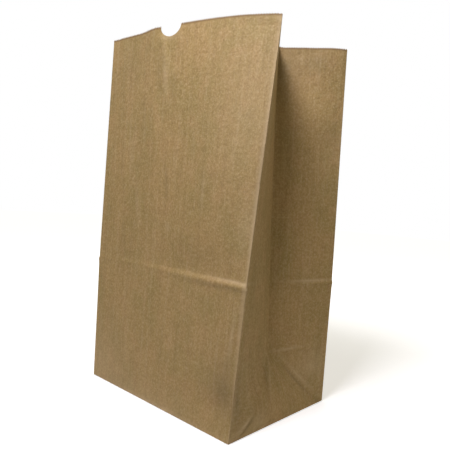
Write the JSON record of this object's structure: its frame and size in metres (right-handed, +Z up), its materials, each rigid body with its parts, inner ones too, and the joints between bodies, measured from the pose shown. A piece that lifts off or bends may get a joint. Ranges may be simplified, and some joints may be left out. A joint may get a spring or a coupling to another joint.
{
  "type": "paper lunch bag",
  "caption": "Brown kraft paper lunch bag standing open, with pleated sides, a flat folded bottom, a pinked rim and a thumb notch.",
  "frame": {"origin": "under the middle of the bag's bounding box, on the surface that the bag stands on", "axes": "+Z up out of the open mouth, -Y out of the front wall that has the thumb notch, +X to the right seen from the front, towards the deeper pleat"},
  "size_m": [0.1572, 0.1022, 0.2594],
  "materials": {
    "kraft_paper": "uncoated brown kraft paper, matt, with faint upright streaks, short fibres and soft creases"
  },
  "bodies": {
    "root": {"paper_bag": "kraft_paper"}
  },
  "joints": []
}
